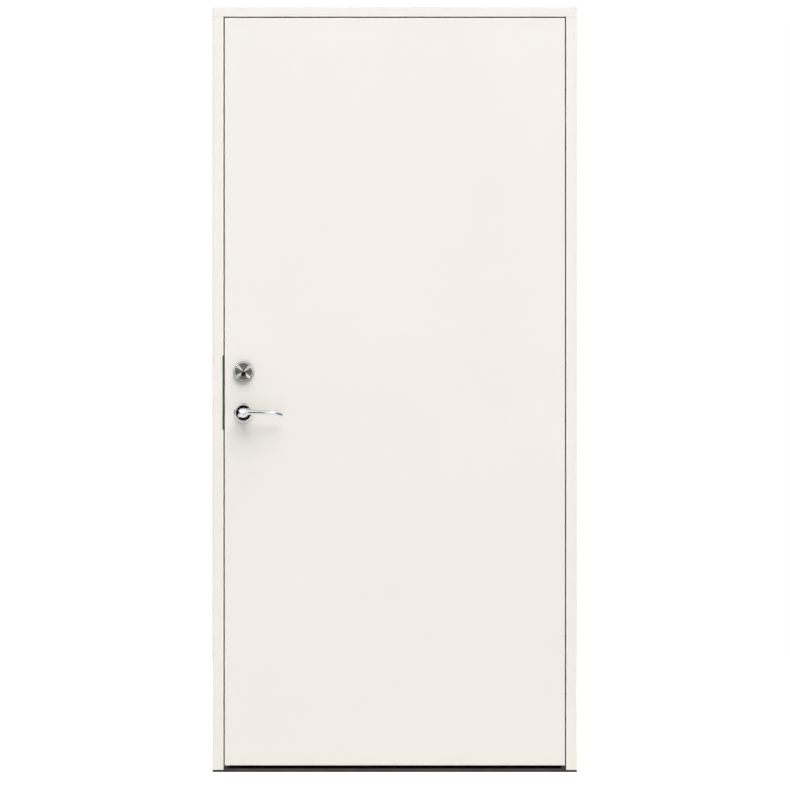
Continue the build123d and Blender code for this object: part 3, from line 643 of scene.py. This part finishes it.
class DOOR_OT_studio(Operator):
    """Makes the pale floor, the soft lamps, the white background and the camera"""
    bl_idname = "door.studio"
    bl_label = "Studio"

    def execute(self, context):
        scene, studio = context.scene, context.scene.door_studio
        self.floor(scene.door_colours.floor)
        self.world(scene, studio)
        self.lamps(studio)
        camera = bpy.data.objects.new("camera", bpy.data.cameras.new("camera"))
        scene.collection.objects.link(camera)
        camera.data.lens, camera.data.sensor_width = studio.lens, SENSOR_WIDTH
        camera.data.clip_end = CLIP_END
        face = corners("outer_skin")[0][1]
        camera.location = (CAMERA_ASIDE, face - studio.distance, studio.eye)
        camera.rotation_euler = (math.radians(90), 0.0, 0.0)
        scene.camera = camera
        scene.view_settings.view_transform = "Standard"
        scene.cycles.caustics_reflective = False
        return {"FINISHED"}

    def floor(self, tint):
        """A plain square; the camera sees it as white with the door's shadow kept."""
        side = np.linspace(-FLOOR_HALF, FLOOR_HALF, 3)
        x, y = np.meshgrid(side, side)
        points = np.stack([x, y, np.full_like(x, -FLOOR_DROP)], axis=-1)[None]
        made, tree, place = new_material("matt_studio_paper")
        cloud = add_node(tree, "TexNoise", {}, {
            "Vector": place, "Scale": 1 / 0.8, "Detail": 2.0}).outputs["Fac"]
        tone = add_node(tree, "Mix", {"data_type": "RGBA"}, {
            0: cloud, 6: shade(tint, 0.995), 7: shade(tint)}).outputs[2]
        surface = add_node(tree, "BsdfPrincipled", {}, {
            "Base Color": tone, "Roughness": 0.9, "Specular IOR Level": 0.0,
            "Emission Color": (0.6, 0.6, 0.6, 1.0), "Emission Strength": self.seen_rays(tree)})
        add_node(tree, "OutputMaterial", {}, {"Surface": surface.outputs["BSDF"]})
        floor = grid_mesh("floor", points, False, made)
        floor.visible_glossy = False

    def seen_rays(self, tree):
        """1 for rays from the camera, or seen in metal or glass, and 0 for others."""
        rays = add_node(tree, "LightPath").outputs
        seen = rays["Is Camera Ray"]
        for other in ("Is Glossy Ray", "Is Transmission Ray"):
            seen = add_node(tree, "Math", {"operation": "MAXIMUM"},
                            {0: seen, 1: rays[other]}).outputs[0]
        return seen

    def world(self, scene, studio):
        """The studio round the door.

        Rays from the camera see plain white. Polished metal sees white too, under a grey ceiling
        and with the dark places in it. Everything else is lit from behind, and from before the
        door by a strength that grows from eye level to the ceiling, with the floor's light below.
        """
        world = bpy.data.worlds.new("white_studio")
        scene.world = world
        world.use_nodes = True
        tree = world.node_tree
        tree.nodes.clear()
        direction = add_node(tree, "TexCoord").outputs["Generated"]
        x, y, z = add_node(tree, "SeparateXYZ", {}, {0: direction}).outputs
        front = add_node(tree, "Math", {"operation": "MULTIPLY"}, {0: y, 1: -1.0}).outputs[0]
        azimuth = add_node(tree, "Math", {"operation": "ARCTAN2"}, {0: x, 1: front}).outputs[0]
        rise = add_node(tree, "Math", {"operation": "ARCSINE"}, {0: z}).outputs[0]
        dark = 0.0
        for left, right, low, high, soft in dark_places(studio):
            inside = add_node(tree, "Math", {"operation": "MULTIPLY"}, {
                0: self.between(tree, azimuth, left, right, soft),
                1: self.between(tree, rise, low, high, soft)}).outputs[0]
            dark = add_node(tree, "Math", {"operation": "MAXIMUM"},
                            {0: dark, 1: inside}).outputs[0]
        glossy = add_node(tree, "LightPath").outputs["Is Glossy Ray"]
        above = add_node(tree, "MapRange", {"clamp": True}, {
            "Value": z, "From Min": 0.8, "From Max": 0.97}).outputs["Result"]
        seen = add_node(tree, "Mix", {"data_type": "RGBA"}, {
            0: above, 6: WHITE, 7: GREY}).outputs[2]
        seen = add_node(tree, "Mix", {"data_type": "RGBA"}, {
            0: dark, 6: seen, 7: DARK}).outputs[2]
        seen = add_node(tree, "Mix", {"data_type": "RGBA"}, {
            0: glossy, 6: WHITE, 7: seen}).outputs[2]
        high = add_node(tree, "MapRange", {"clamp": True}, {
            "Value": z, "From Min": 0.45, "From Max": 0.75,
            "To Min": studio.level, "To Max": studio.ceiling}).outputs["Result"]
        low = add_node(tree, "MapRange", {"clamp": True}, {
            "Value": z, "From Min": -0.04, "From Max": 0.0,
            "To Min": studio.ground, "To Max": 0.0}).outputs["Result"]
        behind = add_node(tree, "MapRange", {"clamp": True}, {
            "Value": front, "From Min": -0.1, "From Max": 0.1,
            "To Min": studio.sky, "To Max": 0.0}).outputs["Result"]
        facing = add_node(tree, "MapRange", {"clamp": True}, {
            "Value": front, "From Min": -0.1, "From Max": 0.1}).outputs["Result"]
        before = add_node(tree, "Math", {"operation": "ADD"}, {0: high, 1: low}).outputs[0]
        before = add_node(tree, "Math", {"operation": "MULTIPLY"},
                          {0: before, 1: facing}).outputs[0]
        level = add_node(tree, "Math", {"operation": "ADD"}, {0: before, 1: behind}).outputs[0]
        plain = add_node(tree, "Background", {}, {"Color": WHITE, "Strength": level})
        shown = add_node(tree, "Background", {}, {"Color": seen, "Strength": 1.0})
        mix = add_node(tree, "MixShader", {}, {0: self.seen_rays(tree), 1: plain.outputs[0],
                                               2: shown.outputs[0]})
        add_node(tree, "OutputWorld", {}, {"Surface": mix.outputs[0]})

    def between(self, tree, value, low, high, edge):
        """1 between two values and 0 outside them, with a soft edge."""
        rise, fall = (add_node(tree, "MapRange", {"clamp": True}, {
            "Value": value, "From Min": limit - edge, "From Max": limit + edge,
            "To Min": outside, "To Max": 1.0 - outside}).outputs["Result"]
            for limit, outside in ((low, 0.0), (high, 1.0)))
        return add_node(tree, "Math", {"operation": "MULTIPLY"}, {0: rise, 1: fall}).outputs[0]

    def lamps(self, studio):
        """A broad lamp above and before the door, and two small ones that only metal shows."""
        for name, direction, strength, spread, metal_only in (
                ("lamp_overhead", (OVERHEAD_ASIDE, -math.sin(studio.lean), math.cos(studio.lean)),
                 studio.overhead, studio.spread, False),
                ("glint_left", (-GLINT_ASIDE, GLINT_BEFORE, GLINT_ABOVE), studio.glint,
                 studio.narrow, True),
                ("glint_right", (GLINT_ASIDE, GLINT_BEFORE, GLINT_ABOVE), studio.glint,
                 studio.narrow, True)):
            data = bpy.data.lights.new(name, "SUN")
            data.energy, data.angle = strength, spread
            lamp = bpy.data.objects.new(name, data)
            lamp.rotation_mode = "QUATERNION"
            lamp.rotation_quaternion = Vector(direction).to_track_quat("Z", "Y")
            lamp.visible_diffuse, lamp.visible_glossy = not metal_only, metal_only
            bpy.context.scene.collection.objects.link(lamp)


STEPS = (DOOR_OT_painted_wood, DOOR_OT_handle_metal, DOOR_OT_fitting_metal, DOOR_OT_seals_and_sill,
         DOOR_OT_rose_screws, DOOR_OT_lock_screws, DOOR_OT_hinge_screws, DOOR_OT_sill_screws,
         DOOR_OT_studio)


class DOOR_PT_sidebar(Panel):
    """Lists the steps, and the sizes and colours that they read"""
    bl_idname = "DOOR_PT_sidebar"
    bl_label = "Flush front door"
    bl_space_type = "VIEW_3D"
    bl_region_type = "UI"
    bl_category = "Door"

    def draw(self, context):
        layout = self.layout
        for step in STEPS:
            layout.operator(step.bl_idname)
        for key in GROUPS:
            box, group = layout.box(), getattr(context.scene, key)
            for name in group.__annotations__:
                box.prop(group, name)


GROUPS = {"door_colours": DoorColours, "door_screws": DoorScrews, "door_studio": DoorStudio}


def register():
    """Adds the sizes and colours to the scene, and the steps and the panel to Blender."""
    for name, group in GROUPS.items():
        bpy.utils.register_class(group)
        setattr(bpy.types.Scene, name, PointerProperty(type=group))
    for kind in (*STEPS, DOOR_PT_sidebar):
        bpy.utils.register_class(kind)


def unregister():
    """Takes away what register adds, in the other order."""
    for kind in reversed((*STEPS, DOOR_PT_sidebar)):
        bpy.utils.unregister_class(kind)
    for name, group in GROUPS.items():
        delattr(bpy.types.Scene, name)
        bpy.utils.unregister_class(group)


def main():
    """Runs the steps in order."""
    register()
    for step in STEPS:
        group, name = step.bl_idname.split(".")
        getattr(getattr(bpy.ops, group), name)()


if __name__ == "__main__":
    main()
